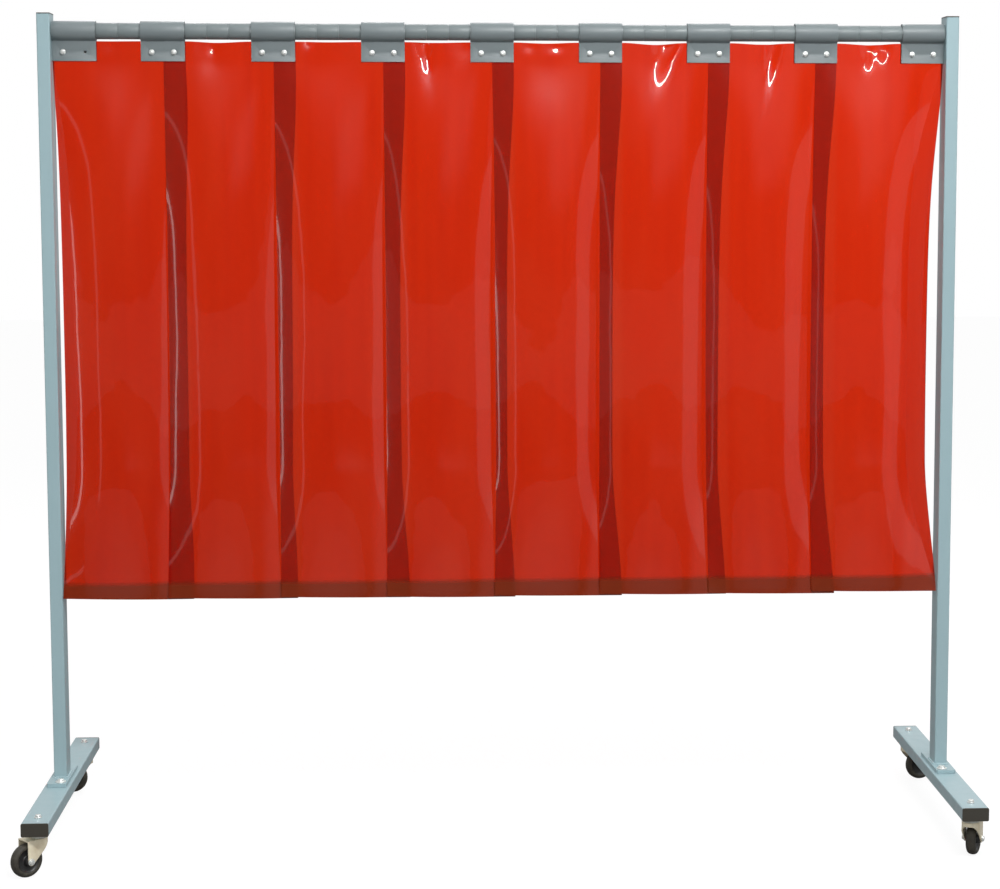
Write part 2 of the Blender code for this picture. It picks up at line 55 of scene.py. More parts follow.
STRIP_W, STRIP_T, STRIP_LEN, STRIP_TOP = 0.300, 0.002, 1.2815, 1.8380
STRIP_X0 = -1.0244
STRIP_PITCH = (2 * 1.0244 - STRIP_W) / 7
STRIP_LAYER, STRIP_SPREAD = 0.00145, 0.0013
STRIP_CURL = (4.3, 3.9, 3.9, 3.9, 4.5, 3.8, 3.8, 4.0)
STRIP_SAG = (0.5, 3.0, 1.0, 1.5, 2.3, 4.2, 3.0, 3.4)
STRIP_CUT = (0.5, 0.0, -0.4, -1.8, -1.3, -0.5, -1.8, 1.0)
STRIP_DRIFT = (-0.5, -8.0, 3.5, -0.4, 0.0, -2.7, 5.1, -0.8)
STRIP_SHIFT = (10.0, 0.5, 1.5, 1.5, 6.0, 0.0, 0.0, -1.0)

CASTER_Y, TRAIL, AXLE_Z = 0.350, 0.032, 0.0375
FORK_TOP, FORK_T, FORK_R = 0.0842, 0.0025, 0.020
CASTERS = {
    "left_front": (-1, -1, 222.0),
    "right_front": (1, -1, 64.0),
    "left_rear": (-1, 1, 170.0),
    "right_rear": (1, 1, 17.0),
}

# ---------------------------------------------------------------- camera
camera = bpy.data.objects.new("camera", bpy.data.cameras.new("camera"))
scene.collection.objects.link(camera)
camera.data.sensor_width = 36.0
camera.data.lens = 85.0777
camera.data.shift_x, camera.data.shift_y = -0.07631, -0.017245
camera.data.clip_end = 100.0
camera.location = (-0.1654, -5.4983, 1.5336)
camera.rotation_euler = (
    Vector((0.060421, 0.992539, -0.105901)).to_track_quat("-Z", "Y").to_euler()
)
scene.camera = camera
scene.view_settings.view_transform = "Standard"


# ---------------------------------------------------------------- node helpers
class Nodes:
    """A material's node tree, with short ways to add and join nodes."""

    def __init__(self, name):
        self.mat = bpy.data.materials.new(name)
        self.mat.use_nodes = True
        self.tree = self.mat.node_tree
        self.shader = self.tree.nodes["Principled BSDF"]
        self.place = self.add("ShaderNodeTexCoord").outputs["Object"]

    def add(self, kind, inputs=None, **settings):
        node = self.tree.nodes.new(kind)
        for key, value in settings.items():
            setattr(node, key, value)
        for key, value in (inputs or {}).items():
            self.join(value, node.inputs[key])
        return node

    def join(self, value, socket):
        if isinstance(value, bpy.types.NodeSocket):
            self.tree.links.new(value, socket)
        else:
            socket.default_value = value

    def set(self, **inputs):
        for key, value in inputs.items():
            self.join(value, self.shader.inputs[key.replace("_", " ")])

    def noise(self, scale, detail=3.0, stretch=(1, 1, 1), rough=0.5, shift=(0, 0, 0)):
        at = self.add(
            "ShaderNodeMapping",
            {"Vector": self.place, "Scale": stretch, "Location": shift},
        ).outputs["Vector"]
        node = self.add(
            "ShaderNodeTexNoise",
            {"Vector": at, "Scale": scale, "Detail": detail, "Roughness": rough},
        )
        return node.outputs["Fac"]

    def span(self, value, low, high, to_low, to_high):
        return self.add(
            "ShaderNodeMapRange",
            {
                "Value": value,
                "From Min": low,
                "From Max": high,
                "To Min": to_low,
                "To Max": to_high,
            },
        ).outputs["Result"]

    def maths(self, operation, a, b=0.0):
        node = self.add("ShaderNodeMath", operation=operation)
        self.join(a, node.inputs[0])
        self.join(b, node.inputs[1])
        return node.outputs[0]

    def mix(self, factor, a, b, blend="MIX"):
        node = self.add("ShaderNodeMix", data_type="RGBA", blend_type=blend)
        self.join(factor, node.inputs[0])
        self.join(a, node.inputs[6])
        self.join(b, node.inputs[7])
        return node.outputs[2]

    def ramp(self, value, stops):
        node = self.add("ShaderNodeValToRGB", {"Fac": value})
        ramp = node.color_ramp
        while len(ramp.elements) < len(stops):
            ramp.elements.new(0.5)
        for element, (where, colour) in zip(ramp.elements, stops):
            element.position = where
            element.color = (*colour, 1.0)
        return node.outputs["Color"]

    def bump(self, height, distance, strength=1.0, under=None):
        inputs = {"Height": height, "Distance": distance, "Strength": strength}
        if under is not None:
            inputs["Normal"] = under
        return self.add("ShaderNodeBump", inputs).outputs["Normal"]


def shade(colour, by):
    return (*(c * by for c in colour), 1.0)


def moulded(name, colour, roughness, grain, depth, vary=0.10, coat=0.0, metallic=0.0):
    """Paint or plastic: a fine grain, a slow drift of colour and dull handled patches."""
    n = Nodes(name)
    slow = n.noise(9.0, 4.0)
    fine = n.noise(grain, 2.0)
    specks = n.noise(grain * 0.35, 5.0, shift=(3.1, 1.7, 0.4))
    tone = n.mix(slow, shade(colour, 1 - vary), shade(colour, 1 + vary))
    tone = n.mix(n.span(specks, 0.60, 0.75, 0.0, 0.35), tone, shade(colour, 0.72))
    n.set(
        Base_Color=tone,
        Roughness=n.span(n.noise(30.0, 3.0), 0.3, 0.7, roughness - 0.07, roughness + 0.08),
        Metallic=metallic,
        Coat_Weight=coat,
        Coat_Roughness=0.15,
        Normal=n.bump(fine, depth, 0.6),
    )
    return n.mat


def plated(name, colour, dark, roughness, scale=240.0, metallic=0.75):
    """Plated steel: a bright metal with a cloudy film and fine drawn scratches."""
    n = Nodes(name)
    cloud = n.noise(scale * 0.25, 5.0)
    scratch = n.noise(scale * 4, 2.0, stretch=(1, 1, 0.06))
    n.set(
        Base_Color=n.mix(n.span(cloud, 0.35, 0.70, 0.0, 1.0), (*colour, 1), (*dark, 1)),
        Roughness=n.span(cloud, 0.3, 0.7, roughness - 0.06, roughness + 0.12),
        Metallic=metallic,
        Normal=n.bump(scratch, 0.00004, 0.5),
    )
    return n.mat


PAINT = moulded("frame_paint_blue_grey", (0.312, 0.440, 0.474), 0.36, 900.0, 0.00012, 0.035, coat=0.25)
BLACK = moulded("end_cap_black", (0.042, 0.038, 0.029), 0.48, 1400.0, 0.0001, 0.15)
GREY = moulded("clamp_grey", (0.168, 0.199, 0.207), 0.42, 1600.0, 0.00008, 0.04)
CLIP = moulded("clip_grey", (0.168, 0.200, 0.205), 0.44, 1500.0, 0.00008, 0.05)
RAIL = plated("rail_steel_tube", (0.52, 0.54, 0.55), (0.36, 0.38, 0.39), 0.34)
ZINC = plated("screw_zinc", (0.92, 0.94, 0.92), (0.70, 0.72, 0.69), 0.28, 900.0, 0.60)
FORK = plated("fork_passivated_zinc", (0.94, 0.86, 0.66), (0.76, 0.66, 0.46), 0.34, 160.0, 0.22)
RACE = plated("race_steel", (0.82, 0.83, 0.78), (0.58, 0.58, 0.52), 0.30, 300.0, 0.55)


def rubber():
    """Black tyre rubber: dusty, with fine pits."""
    n = Nodes("tyre_rubber")
    dust = n.noise(70.0, 6.0, rough=0.6)
    pits = n.noise(1300.0, 2.0)
    n.set(
        Base_Color=n.mix(n.span(dust, 0.45, 0.75, 0.0, 0.6), (0.036, 0.032, 0.024, 1), (0.100, 0.090, 0.068, 1)),
        Roughness=n.span(dust, 0.3, 0.7, 0.50, 0.78),
        Normal=n.bump(pits, 0.00012, 0.5),
    )
    return n.mat


def pvc(name, edge=False):
    """Clear orange-red soft PVC: glossy, slightly cloudy inside, with faint roll marks."""
    n = Nodes(name)
    height = n.add("ShaderNodeSeparateXYZ", {"Vector": n.place}).outputs["Z"]
    roll = n.noise(42.0, 2.0, stretch=(1.0, 1.0, 0.03))
    patch = n.noise(6.0, 3.0, stretch=(1.0, 1.0, 0.35), shift=(0.7, 0, 0.2))
    body = n.mix(n.span(roll, 0.30, 0.70, 0.0, 1.0), (0.570, 0.0215, 0.0020, 1), (0.540, 0.0185, 0.0020, 1))
    body = n.mix(n.span(patch, 0.45, 0.70, 0.0, 1.0), body, (0.560, 0.0250, 0.0036, 1))
    # The last 30 mm, darker and browner, and letting less light through.
    hem = n.span(height, 0.5860, 0.5970, 1.0, 0.0)
    body = n.mix(n.maths("MULTIPLY", hem, 0.92), body, (0.240, 0.028, 0.007, 1))
    # The cut edges get painted shade: their colour is darkened towards a deep brown-red.
    if edge:
        body = n.mix(0.65, body, (0.12, 0.006, 0.003, 1))
    # Where two strips lap, a faint greenish painted sheen lies on the sheet, a little stronger near the top.
    along = n.add("ShaderNodeSeparateXYZ", {"Vector": n.place}).outputs["X"]
    step = n.maths("FRACT", n.maths("DIVIDE", n.maths("SUBTRACT", along, STRIP_X0), STRIP_PITCH))
    inner = n.span(n.maths("ABSOLUTE", along), 0.93, 0.95, 1.0, 0.0)
    painted_lap_sheen = n.maths("MULTIPLY", n.span(step, 0.180, 0.225, 1.0, 0.0), inner)
    n.set(
        Base_Color=body,
        Sheen_Weight=n.maths("MULTIPLY", painted_lap_sheen, n.span(height, 1.30, 1.60, 0.10, 0.15)),
        Sheen_Roughness=0.6,
        Sheen_Tint=(0.0, 1.0, 0.5, 1),
        Roughness=n.span(patch, 0.3, 0.7, 0.13, 0.20),
        IOR=1.3,
        Transmission_Weight=n.span(height, 0.5860, 0.5970, 0.38, 0.90),
        Specular_IOR_Level=0.25,
        Coat_Weight=1.0,
        Coat_Roughness=0.025,
        Coat_IOR=1.45,
        Normal=n.bump(n.noise(60.0, 1.0, stretch=(1.0, 1.0, 0.25)), 0.0004, 0.10),
    )
    return n.mat


RUBBER = rubber()
PVC, PVC_EDGE = pvc("pvc_orange_red"), pvc("pvc_cut_edge", edge=True)


# ---------------------------------------------------------------- mesh helpers
TOOLS = bpy.data.collections.new("helpers")
scene.collection.children.link(TOOLS)


def link(obj):
    scene.collection.objects.link(obj)
    return obj


def evaluated_mesh(obj):
    bpy.context.view_layer.update()
    graph = bpy.context.evaluated_depsgraph_get()
    return bpy.data.meshes.new_from_object(obj.evaluated_get(graph))


def welded(mesh, distance=1e-6):
    bm = bmesh.new()
    bm.from_mesh(mesh)
    bmesh.ops.remove_doubles(bm, verts=bm.verts, dist=distance)
    bmesh.ops.recalc_face_normals(bm, faces=bm.faces)
    bm.to_mesh(mesh)
    bm.free()
    return mesh


def as_tool(name, mesh):
    obj = bpy.data.objects.new(name, mesh)
    obj.hide_render = True
    TOOLS.objects.link(obj)
    return obj


def moved(mesh, *matrices):
    for matrix in matrices:
        mesh.transform(matrix)
    return mesh


def move(x, y, z):
    return Matrix.Translation((x, y, z))


ALONG_X = Matrix(((0, 0, 1, 0), (1, 0, 0, 0), (0, 1, 0, 0), (0, 0, 0, 1)))
ALONG_Y = Matrix(((1, 0, 0, 0), (0, 0, -1, 0), (0, 1, 0, 0), (0, 0, 0, 1)))
Z_TO_Y = Matrix.Rotation(math.pi / 2, 4, "X")


def prism(name, loops, depth, matrix=None):
    curve = bpy.data.curves.new(name, "CURVE")
    curve.dimensions = "2D"
    curve.fill_mode = "BOTH"
    curve.extrude = depth / 2
    for loop in loops:
        spline = curve.splines.new("POLY")
        spline.points.add(len(loop) - 1)
        for point, (x, y) in zip(spline.points, loop):
            point.co = (x, y, 0.0, 1.0)
        spline.use_cyclic_u = True
    obj = bpy.data.objects.new(name, curve)
    TOOLS.objects.link(obj)
    mesh = welded(evaluated_mesh(obj))
    bpy.data.objects.remove(obj, do_unlink=True)
    bpy.data.curves.remove(curve)
    return moved(mesh, matrix) if matrix is not None else mesh


def rod(name, radius, z0, z1, sides=32, centre=(0, 0), turn=0.0, top=None):
    bm = bmesh.new()
    bmesh.ops.create_cone(
        bm,
        cap_ends=True,
        segments=sides,
        radius1=radius,
        radius2=radius if top is None else top,
        depth=z1 - z0,
    )
    bmesh.ops.rotate(bm, verts=bm.verts, cent=(0, 0, 0), matrix=Matrix.Rotation(turn, 3, "Z"))
    bmesh.ops.translate(bm, vec=(centre[0], centre[1], (z0 + z1) / 2), verts=bm.verts)
    mesh = bpy.data.meshes.new(name)
    bm.to_mesh(mesh)
    bm.free()
    return mesh


def block(name, low, high):
    low, high = Vector(low), Vector(high)
    bm = bmesh.new()
    bmesh.ops.create_cube(bm, size=1.0)
    bmesh.ops.scale(bm, vec=high - low, verts=bm.verts)
    bmesh.ops.translate(bm, vec=(high + low) / 2, verts=bm.verts)
    mesh = bpy.data.meshes.new(name)
    bm.to_mesh(mesh)
    bm.free()
    return mesh


def combined(name, base, *steps):
    obj = as_tool(name + "_base", base)
    helpers = []
    for number, (operation, mesh) in enumerate(steps):
        helper = as_tool(f"{name}_step{number}", mesh)
        helpers.append(helper)
        modifier = obj.modifiers.new(f"step{number}", "BOOLEAN")
        modifier.operation = operation
        modifier.object = helper
    mesh = evaluated_mesh(obj)
    for item in [obj, *helpers]:
        bpy.data.objects.remove(item, do_unlink=True)
    return welded(mesh)


def turned(name, profile, steps, closed=True):
    """A profile of (radius, z), running down its outer side, turned about Z."""
    mesh = bpy.data.meshes.new(name)
    edges = [(i, i + 1) for i in range(len(profile) - 1)]
    if closed:
        edges.append((len(profile) - 1, 0))
    mesh.from_pydata([(r, 0.0, z) for r, z in profile], edges, [])
    obj = as_tool(name + "_profile", mesh)
    screw = obj.modifiers.new("turn", "SCREW")
    screw.axis = "Z"
    screw.angle = 2 * math.pi
    screw.steps = screw.render_steps = steps
    screw.use_merge_vertices = True
    screw.merge_threshold = 1e-5
    made = welded(evaluated_mesh(obj))
    bpy.data.objects.remove(obj, do_unlink=True)
    return made


def softened(mesh, width, segments=2, degrees=35.0):
    """The mesh with its sharp edges rounded off, shaded smooth elsewhere."""
    obj = as_tool("soften", mesh)
    bevel = obj.modifiers.new("bevel", "BEVEL")
    bevel.width = width
    bevel.segments = segments
    bevel.limit_method = "ANGLE"
    bevel.angle_limit = math.radians(degrees)
    bevel.use_clamp_overlap = True
    made = welded(evaluated_mesh(obj), 2e-6)
    bpy.data.objects.remove(obj, do_unlink=True)
    return smooth(made)


def smooth(mesh, degrees=40.0):
    mesh.shade_smooth()
    mesh.set_sharp_from_angle(angle=math.radians(degrees))
    return mesh


def piece(name, mesh, mat, body, matrix=None, stands_for=()):
    """A finished piece of the object: it rides on a body and stands for CAD nodes."""
    mesh = mesh.copy()
    mesh.name = name
    if matrix is not None:
        mesh.transform(matrix)
    mesh.materials.clear()
    mesh.materials.append(mat)
    obj = link(bpy.data.objects.new(name, mesh))
    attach(obj, body)
    if stands_for:
        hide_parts(*stands_for)
    return obj


def arc(radius, start, end, steps):
    return [
        (
            radius * math.cos(start + (end - start) * i / steps),
            radius * math.sin(start + (end - start) * i / steps),
        )
        for i in range(steps + 1)
    ]


def clamp_centre(number):
    if number == 1:
        return -INNER_HALF + CLAMP_LEN / 2
    if number == 9:
        return INNER_HALF - CLAMP_LEN / 2
    return -INNER_HALF + 0.250 * (number - 1)


# ---------------------------------------------------------------- carried-over CAD nodes
def carried(mat, *names):
    for name in names:
        mesh = NODES[name].data
        mesh.materials.clear()
        mesh.materials.append(mat)


carried(PAINT, "left_post", "right_post", "left_foot", "right_foot")
carried(
    BLACK,
    "left_post_cap",
    "right_post_cap",
    "left_foot_front_cap",
    "left_foot_rear_cap",
    "right_foot_front_cap",
    "right_foot_rear_cap",
)
carried(RAIL, "rail")


# ---------------------------------------------------------------- welds at the post feet
def weld_mesh():
    """A rippled fillet bead round the foot of a post, on its base plate."""
    path = []
    hx, hy, r = POST_W / 2 + 0.0012, POST_D / 2 + 0.0012, 0.003
    for corner in range(4):
        cx = (hx - r) * (1 if corner in (0, 3) else -1)
        cy = (hy - r) * (1 if corner in (0, 1) else -1)
        for step in range(5):
            a = math.pi / 2 * (corner + step / 4)
            path.append(Vector((cx + r * math.cos(a), cy + r * math.sin(a), 0)))
    # Even steps along the path, so that the ripples keep one pitch.
    loop = path + [path[0]]
    lengths = [0.0]
    for a, b in zip(loop, loop[1:]):
        lengths.append(lengths[-1] + (b - a).length)
    total, count = lengths[-1], 220
    points = []
    for i in range(count):
        want = total * i / count
        k = max(j for j in range(len(lengths) - 1) if lengths[j] <= want)
        share = (want - lengths[k]) / max(lengths[k + 1] - lengths[k], 1e-9)
        points.append(loop[k].lerp(loop[k + 1], share))
    bm = bmesh.new()
    rings = []
    for i, at in enumerate(points):
        along = (points[(i + 1) % count] - points[i - 1]).normalized()
        out = Vector((along.y, -along.x, 0))
        ripple = 1 + 0.13 * math.sin(2 * math.pi * i / 5.5) + 0.18 * noise.noise(at * 90)
        size = 0.0027 * ripple
        rings.append(
            [
                bm.verts.new(at + out * size * math.cos(t) + Vector((0, 0, size * math.sin(t))))
                for t in (2 * math.pi * k / 10 for k in range(10))
            ]
        )
    for i in range(count):
        a, b = rings[i], rings[(i + 1) % count]
        for k in range(10):
            bm.faces.new((a[k], b[k], b[(k + 1) % 10], a[(k + 1) % 10]))
    bmesh.ops.recalc_face_normals(bm, faces=bm.faces)
    mesh = bpy.data.meshes.new("weld")
    bm.to_mesh(mesh)
    bm.free()
    return smooth(mesh, 60)


weld = weld_mesh()
for side, word in ((-1, "left"), (1, "right")):
    piece(
        f"{word}_post_weld", weld, PAINT, "frame",
        move(side * POST_X, 0, PLATE_TOP + 0.0002),
    )


# ---------------------------------------------------------------- screws and bolts
def hex_head(radius, height, z0, turn=0.0):
    """A hexagon head with its chamfered crown, standing on z0."""
    head = rod("head", radius, z0, z0 + height, 6, turn=turn)
    crown = rod("crown", radius * 1.35, z0 - radius, z0 + height + 1e-5, 40, top=radius * 0.80)
    return combined("hex", head, ("INTERSECT", crown))


def base_bolts_mesh(inward):
    inside = FOOT_TOP - 0.002 - GAP
    half = BASE_BOLTS[1][1] + 0.014
    bar = block("nut_plate", (-0.021, -half, inside - 0.006), (0.021, half, inside))
    steps = []
    seat = PLATE_TOP + GAP
    for inwards, y in BASE_BOLTS:
        at = (inward * inwards, y)
        steps.append(("UNION", rod("shank", 0.005, inside - 0.003, seat + 0.004, 24, at)))
        steps.append(("UNION", rod("washer", 0.0125, seat, seat + 0.0018, 48, at, top=0.0121)))
        steps.append(("UNION", moved(hex_head(0.0088, 0.0056, seat + 0.0012, 0.3), move(*at, 0))))
    return softened(combined("base_bolts", bar, *steps), 0.00025, 2, 30)


for side, word in ((-1, "left"), (1, "right")):
    piece(
        f"{word}_base_bolts_zinc", base_bolts_mesh(-side), ZINC, "frame",
        move(side * POST_X, 0, 0), (f"{word}_base_bolts",),
    )


def screws_mesh(places):
    """Hexagon screws through both flanges and the backing bar, with their nuts."""
    y_front = FLANGE_OUT + FLANGE_LIP + GAP
    bar = block("bar", (-0.040, y_front, -0.008), (0.040, y_front + 0.003, 0.008))
    steps = []
    for dx in places:
        parts = [
            rod("shank", 0.0029, -y_front - 0.001, y_front + 0.0088, 20),
            rod("flange", 0.0066, y_front, y_front + 0.0010, 32, top=0.0060),
            hex_head(0.0056, 0.0036, y_front + 0.0008, 0.26 + dx * 9),
        ]
        # Built with the head up, then turned so that it points forwards.
        for part in parts[1:]:
            steps.append(("UNION", moved(part, Matrix.Rotation(math.pi / 2, 4, "X"), move(dx, 0, 0))))
        steps.append(("UNION", moved(parts[0], Matrix.Rotation(-math.pi / 2, 4, "X"), move(dx, 0, 0))))
        nut = hex_head(0.0057, 0.0045, y_front + 0.0028, 0.1)
        steps.append(("UNION", moved(nut, Matrix.Rotation(-math.pi / 2, 4, "X"), move(dx, 0, 0))))
    return softened(combined("screws", bar, *steps), 0.00018, 2, 30)


# ---------------------------------------------------------------- clamps
def clamp_mesh():
    low = FLANGE_Z0 - RAIL_Z
    inner = math.acos(FLANGE_IN / CLAMP_BORE)
    outer = math.acos(FLANGE_OUT / CLAMP_R)
    lip = FLANGE_OUT + 2 * FLANGE_LIP
    points = [(-FLANGE_IN, low)]
    points += arc(CLAMP_BORE, -math.pi + inner, -2 * math.pi - inner, 60)
    points += [(FLANGE_IN, low), (lip - 0.0004, low), (lip, low + 0.0004)]
    points += [(lip, low + 0.0009), (FLANGE_OUT, low + 0.0054)]
    points += arc(CLAMP_R, -outer, math.pi + outer, 60)
    points += [(-FLANGE_OUT, low + 0.0054), (-lip, low + 0.0009)]
    points += [(-lip, low + 0.0004), (-lip + 0.0004, low)]
    body = prism("clamp", [points], CLAMP_LEN - 0.0008, ALONG_X)
    cuts = []
    for dx in (-SCREW_DX, SCREW_DX):
        hole = rod("hole", SCREW_HOLE_R, -0.02, 0.02, 24)
        cuts.append(("DIFFERENCE", moved(hole, Z_TO_Y, move(dx, 0, SCREW_Z - RAIL_Z))))
    return softened(combined("clamp", body, *cuts), 0.00045, 2, 38)


clamp = clamp_mesh()
both, left_only = screws_mesh((-SCREW_DX, SCREW_DX)), screws_mesh((-SCREW_DX,))
for number in range(1, 10):
    at = move(clamp_centre(number), 0, RAIL_Z)
    piece(
        f"clamp_{number}_moulding", clamp, GREY, "curtain", at,
        (f"clamp_{number}",),
    )
    piece(
        f"clamp_screws_{number}_zinc", left_only if number == 1 else both, ZINC,
        "curtain", move(clamp_centre(number), 0, SCREW_Z),
        (f"clamp_screws_{number}",),
    )


# ---------------------------------------------------------------- spacer clips
def clip_mesh():
    """One open clip: a sleeve with a slot underneath and rounded corners at the slot."""
    bore, slot = RAIL_R + 0.0005, 0.17
    points = arc(CLIP_R, -math.pi / 2 + slot, 1.5 * math.pi - slot, 64)
    points += arc(bore, 1.5 * math.pi - slot * 1.07, -math.pi / 2 + slot * 1.07, 56)
    body = prism("clip", [points], CLIP_LEN - 0.0005, ALONG_X)
    cuts = []
    for side in (-1, 1):
        notch = rod("notch", 0.0042, -0.02, -0.012, 24)
        cuts.append(("DIFFERENCE", moved(notch, move(side * CLIP_LEN / 2, 0, 0))))
    return softened(combined("clip", body, *cuts), 0.0003, 2, 38)


clip = clip_mesh()
for number in range(1, 9):
    start = clamp_centre(number) + CLAMP_LEN / 2
    end = clamp_centre(number + 1) - CLAMP_LEN / 2
    count = round((end - start) / CLIP_LEN)
    for k in range(count):
        x = start + (k + 0.5) * (end - start) / count
        obj = piece(
            f"spacer_clip_{number}_{k + 1}", clip, CLIP, "frame",
            Matrix.Translation((x, 0, RAIL_Z)) @ Matrix.Rotation(0.05 * math.sin(7.3 * x + k), 4, "X"),
        )
        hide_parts(f"spacer_clips_{number}")


# ---------------------------------------------------------------- PVC strips
def strip_point(index, across, down):
    free = max(down - 0.0455, 0.0)
    rise = 1.0 - math.exp(-((free / 0.19) ** 1.4))
    fall = max((down - 0.98) / 0.30, 0.0)
    amount = rise * max(1.0 - 0.85 * min(fall, 1.0) ** 1.6, 0.15)
    curl = max(STRIP_CURL[index] * amount, 1e-4)
    flat_to = 0.125
    x = (math.sin(curl * (across - flat_to)) + math.sin(curl * flat_to)) / curl
    y = (math.cos(curl * flat_to) - math.cos(curl * (across - flat_to))) / curl
    x += STRIP_X0 + STRIP_PITCH * index
    x += 0.001 * STRIP_SHIFT[index] * amount
    x += 0.001 * STRIP_DRIFT[index] * max((down - 0.55) / (STRIP_LEN - 0.55), 0.0) ** 2
    y += 0.016 * rise - 0.046 * max((down - 0.75) / (STRIP_LEN - 0.75), 0.0) ** 2
    y += (STRIP_LAYER + STRIP_SPREAD * rise) * (2 * across / STRIP_W - 1)
    z = STRIP_TOP - down
    middle = math.sin(math.pi * min(max((across - 0.05) / 0.15, 0.0), 1.0)) ** 2
    z -= 0.001 * STRIP_SAG[index] * middle * math.exp(-down / 0.10)
    z += 0.001 * STRIP_CUT[index] * (down / STRIP_LEN) ** 3
    z += (0.001 - 0.005 * across / STRIP_W) * (down / STRIP_LEN) ** 6
    # The ripple that soft sheet keeps: the same on neighbours, so that laps stay apart.
    ripple = 0.0030 * noise.noise(Vector((x * 6.0, 0.3, z * 2.4)))
    ripple += 0.0006 * noise.noise(Vector((x * 17.0, 4.1, z * 5.0)))
    ripple += 0.00008 * noise.noise(Vector((x * 46.0, 8.6, z * 22.0)))
    y += ripple * rise
    # The dimple between two clamps, where the unheld top edge buckles.
    for middle, depth, wide, tall in PUCKER[index]:
        u, v = (across - middle) / wide, (down - 0.006) / tall
        side = min(max((across - 0.052) / 0.03, 0.0), 1.0) * min(max((0.248 - across) / 0.03, 0.0), 1.0)
        y += depth * math.exp(-u * u - v * v) * side * side * (3 - 2 * side)
    # The deeper folds start at the very edge, die away downwards and lean to one side.
    for middle, depth, wide, tall, lean in FOLD.get(index, ()):
        u, v = (across - middle - lean * down) / wide, down / tall
        side = min(max((across - 0.052) / 0.03, 0.0), 1.0) * min(max((0.248 - across) / 0.03, 0.0), 1.0)
        y += depth * math.exp(-u * u - v) * side * side * (3 - 2 * side)
    return Vector((x, y, z))


# The folds of strips 3, 4, 6 and 7: across, depth, half-width, height over which they fade, lean.
FOLD = {
    2: ((0.076, 0.0032, 0.010, 0.015, -0.50),),
    3: ((0.093, 0.0118, 0.014, 0.040, 0.12),),
    5: ((0.149, 0.0155, 0.026, 0.048, -0.21),),
    6: ((0.152, 0.0135, 0.013, 0.060, -0.14),),
}

# Each strip's dimples: across, how far they go back, and half their width and height.
PUCKER = (
    ((0.130, 0.0010, 0.018, 0.018),),
    ((0.112, 0.0019, 0.011, 0.017), (0.100, 0.0026, 0.030, 0.050)),
    (),
    ((0.186, 0.0026, 0.024, 0.036),),
    ((0.084, 0.0017, 0.016, 0.014), (0.146, 0.0019, 0.022, 0.014)),
    (),
    (),
    ((0.124, 0.0076, 0.014, 0.035), (0.158, 0.0064, 0.013, 0.028)),
)
COLUMNS, ROWS = 48, 190


def strip_mesh(index):
    """The strip as a closed 2 mm sheet about its middle surface."""
    downs = [STRIP_LEN * (i / ROWS) for i in range(ROWS + 1)]
    grid = [
        [strip_point(index, STRIP_W * c / COLUMNS, down) for c in range(COLUMNS + 1)]
        for down in downs
    ]
    bm = bmesh.new()
    sides = ([], [])
    for r in range(ROWS + 1):
        rows = ([], [])
        for c in range(COLUMNS + 1):
            du = grid[r][min(c + 1, COLUMNS)] - grid[r][max(c - 1, 0)]
            dv = grid[min(r + 1, ROWS)][c] - grid[max(r - 1, 0)][c]
            normal = du.cross(dv).normalized()
            for side, sign in enumerate((1, -1)):
                rows[side].append(bm.verts.new(grid[r][c] + normal * sign * STRIP_T / 2))
        for side in (0, 1):
            sides[side].append(rows[side])
    a, b = sides
    for r in range(ROWS):
        for c in range(COLUMNS):
            bm.faces.new((a[r][c], a[r + 1][c], a[r + 1][c + 1], a[r][c + 1]))
            bm.faces.new((b[r][c], b[r][c + 1], b[r + 1][c + 1], b[r + 1][c]))
    rim = []
    for r in range(ROWS):
        rim.append(bm.faces.new((a[r][0], b[r][0], b[r + 1][0], a[r + 1][0])))
        rim.append(bm.faces.new((a[r][-1], a[r + 1][-1], b[r + 1][-1], b[r][-1])))
    for c in range(COLUMNS):
        rim.append(bm.faces.new((a[0][c], a[0][c + 1], b[0][c + 1], b[0][c])))
        rim.append(bm.faces.new((a[-1][c], b[-1][c], b[-1][c + 1], a[-1][c + 1])))
    for face in rim:
        face.material_index = 1
    bmesh.ops.recalc_face_normals(bm, faces=bm.faces)
    mesh = bpy.data.meshes.new(f"strip_{index + 1}")
    bm.to_mesh(mesh)
    bm.free()
    mesh.materials.append(PVC)
    mesh.materials.append(PVC_EDGE)
    return mesh


hole_bm = bmesh.new()
for number in range(1, 10):
    for dx in (-SCREW_DX, SCREW_DX):
        bmesh.ops.create_cone(
            hole_bm, cap_ends=True, segments=16, radius1=SCREW_HOLE_R, radius2=SCREW_HOLE_R,
            depth=0.03, matrix=move(clamp_centre(number) + dx, 0, SCREW_Z) @ Z_TO_Y,
        )
hole_mesh = bpy.data.meshes.new("screw_holes")
hole_bm.to_mesh(hole_mesh)
hole_bm.free()
holes = as_tool("screw_holes", hole_mesh)

for index in range(8):
    source = as_tool(f"strip_{index + 1}_source", strip_mesh(index))
    cut = source.modifiers.new("holes", "BOOLEAN")
    cut.operation = "DIFFERENCE"
    cut.object = holes
    mesh = evaluated_mesh(source)
    bpy.data.objects.remove(source, do_unlink=True)
    mesh.name = f"strip_{index + 1}_sheet"
    smooth(mesh, 60)
    strip = link(bpy.data.objects.new(f"strip_{index + 1}_sheet", mesh))
    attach(strip, "curtain")
    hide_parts(f"strip_{index + 1}")
bpy.data.objects.remove(holes, do_unlink=True)


# ---------------------------------------------------------------- casters
def stem_mesh():
    """The bolt through the foot with its washer, and the nut on its lower end."""
    top = FOOT_TOP + GAP
    shank = rod("shank", 0.004, 0.0750, top + 0.003, 24)
    return softened(
        combined(
            "stem",
            shank,
            ("UNION", rod("washer", 0.0085, top, top + 0.0016, 40, top=0.0082)),
            ("UNION", hex_head(0.0075, 0.0052, top + 0.0012, 0.4)),
            ("UNION", hex_head(0.0080, 0.0060, 0.0742, 0.0)),
        ),
        0.0002, 2, 30,
    )


